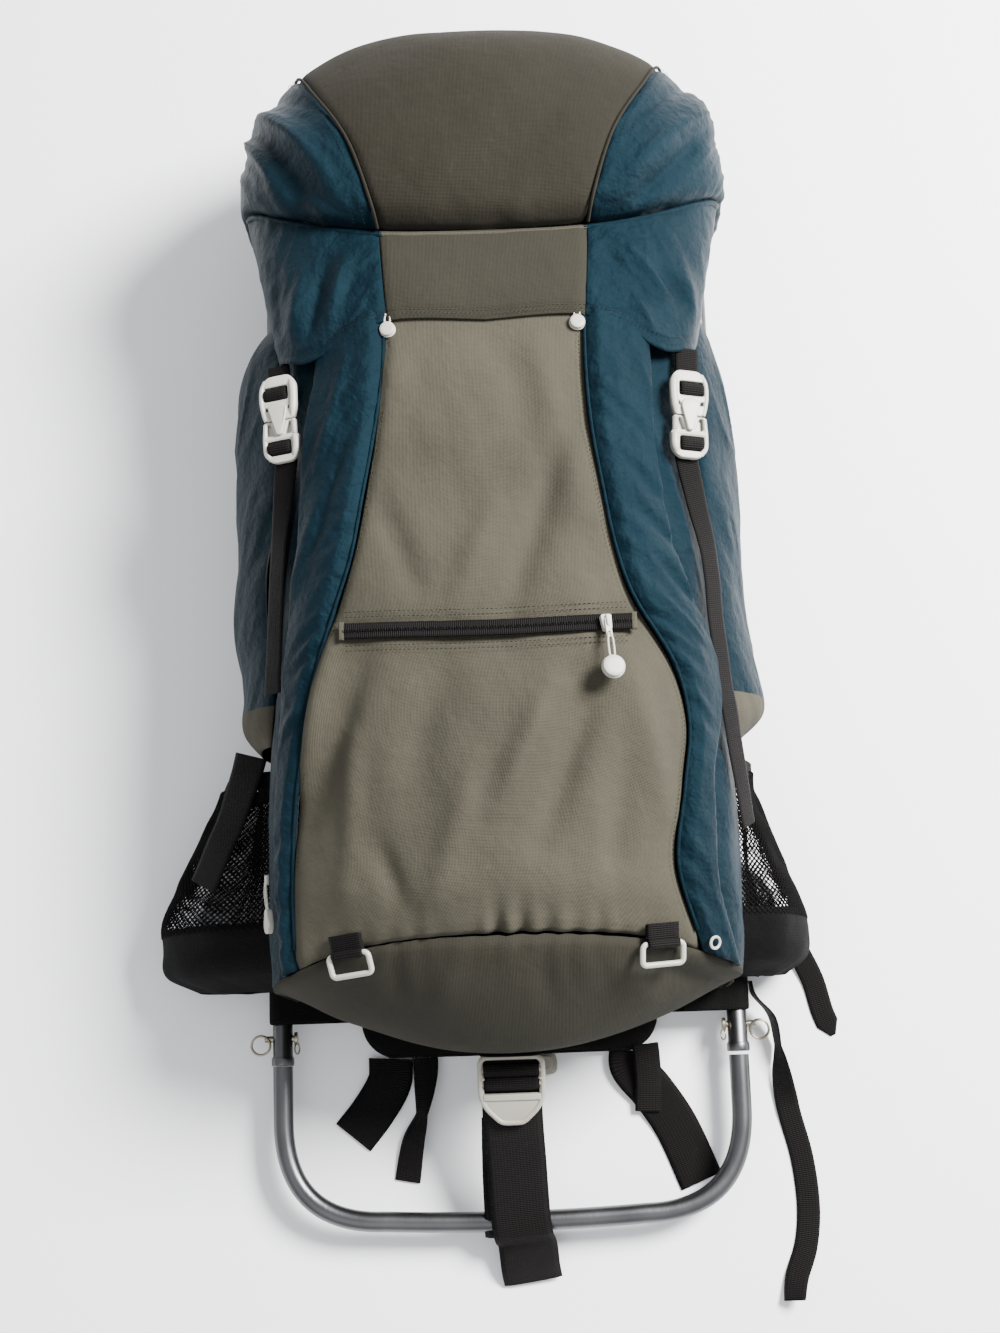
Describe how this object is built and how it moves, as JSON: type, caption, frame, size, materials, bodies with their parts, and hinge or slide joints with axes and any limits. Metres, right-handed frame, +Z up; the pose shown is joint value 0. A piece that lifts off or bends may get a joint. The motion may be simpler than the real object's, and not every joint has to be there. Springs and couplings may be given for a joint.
{
  "type": "external frame backpack",
  "caption": "Hiking backpack on an outside tube frame, lying on its back: hooded bag, side and net pockets, buckled straps, padded harness.",
  "frame": {"origin": "middle of the pack's box on the floor it lies on", "axes": "+X across the pack to the picture's right, +Y along the pack from its foot to its hood, +Z up out of the pack's front"},
  "size_m": [0.5872, 1.088, 0.2747],
  "materials": {
    "frame_tube": "satin drawn tube, lightly scuffed",
    "pin_steel": "plated wire and pin, a little tarnished",
    "grey_cloth": "olive-grey coarse plain weave",
    "blue_cloth": "blue nylon with a soft sheen, wrinkled",
    "black_cloth": "black ribbed fabric and padding",
    "net": "black knotted net",
    "webbing": "black-brown woven webbing",
    "pale_plastic": "off-white moulded acetal",
    "beige_plastic": "beige moulded nylon"
  },
  "bodies": {
    "root": {"rail_left": "frame_tube", "rail_right": "frame_tube", "top_arch": "frame_tube", "crossbar_upper": "frame_tube", "crossbar_lower": "frame_tube", "extension_bar": "frame_tube", "pin_left": "pin_steel", "pin_right": "pin_steel", "bag_front": "grey_cloth", "bag_side_right": "blue_cloth", "bag_side_left": "blue_cloth", "bag_bottom": "grey_cloth", "bag_back": "black_cloth", "hood_top": "grey_cloth", "hood_side_right": "blue_cloth", "hood_side_left": "blue_cloth", "apron_centre": "grey_cloth", "apron_right": "blue_cloth", "apron_left": "blue_cloth", "side_pocket_right": "blue_cloth", "side_pocket_left": "blue_cloth", "mesh_pocket_right": "net", "mesh_pocket_left": "net", "buckle_socket_left": "pale_plastic", "buckle_plug_left": "pale_plastic", "hood_tab_left": "webbing", "side_strap_left": "webbing", "buckle_socket_right": "pale_plastic", "buckle_plug_right": "pale_plastic", "hood_tab_right": "webbing", "side_strap_right": "webbing", "zip_tape": "black_cloth", "zip_slider": "pale_plastic", "hem_pull_left": "pale_plastic", "hem_pull_right": "pale_plastic", "corner_pull": "pale_plastic", "corner_ring": "pale_plastic", "ladder_loop_left": "pale_plastic", "loop_tab_left": "webbing", "ladder_loop_right": "pale_plastic", "loop_tab_right": "webbing", "tension_lock": "beige_plastic", "centre_strap": "webbing", "back_band": "black_cloth", "lumbar_pad": "black_cloth", "hip_wing_left": "black_cloth", "hip_wing_right": "black_cloth", "shoulder_strap_right": "black_cloth", "shoulder_strap_left": "black_cloth", "belt_buckle": "beige_plastic", "belt_tail_left": "webbing", "twisted_tail_left": "webbing", "belt_tail_right": "webbing", "long_tail_right": "webbing", "pointed_tail_right": "webbing", "net_strap_left": "webbing"}
  },
  "joints": []
}
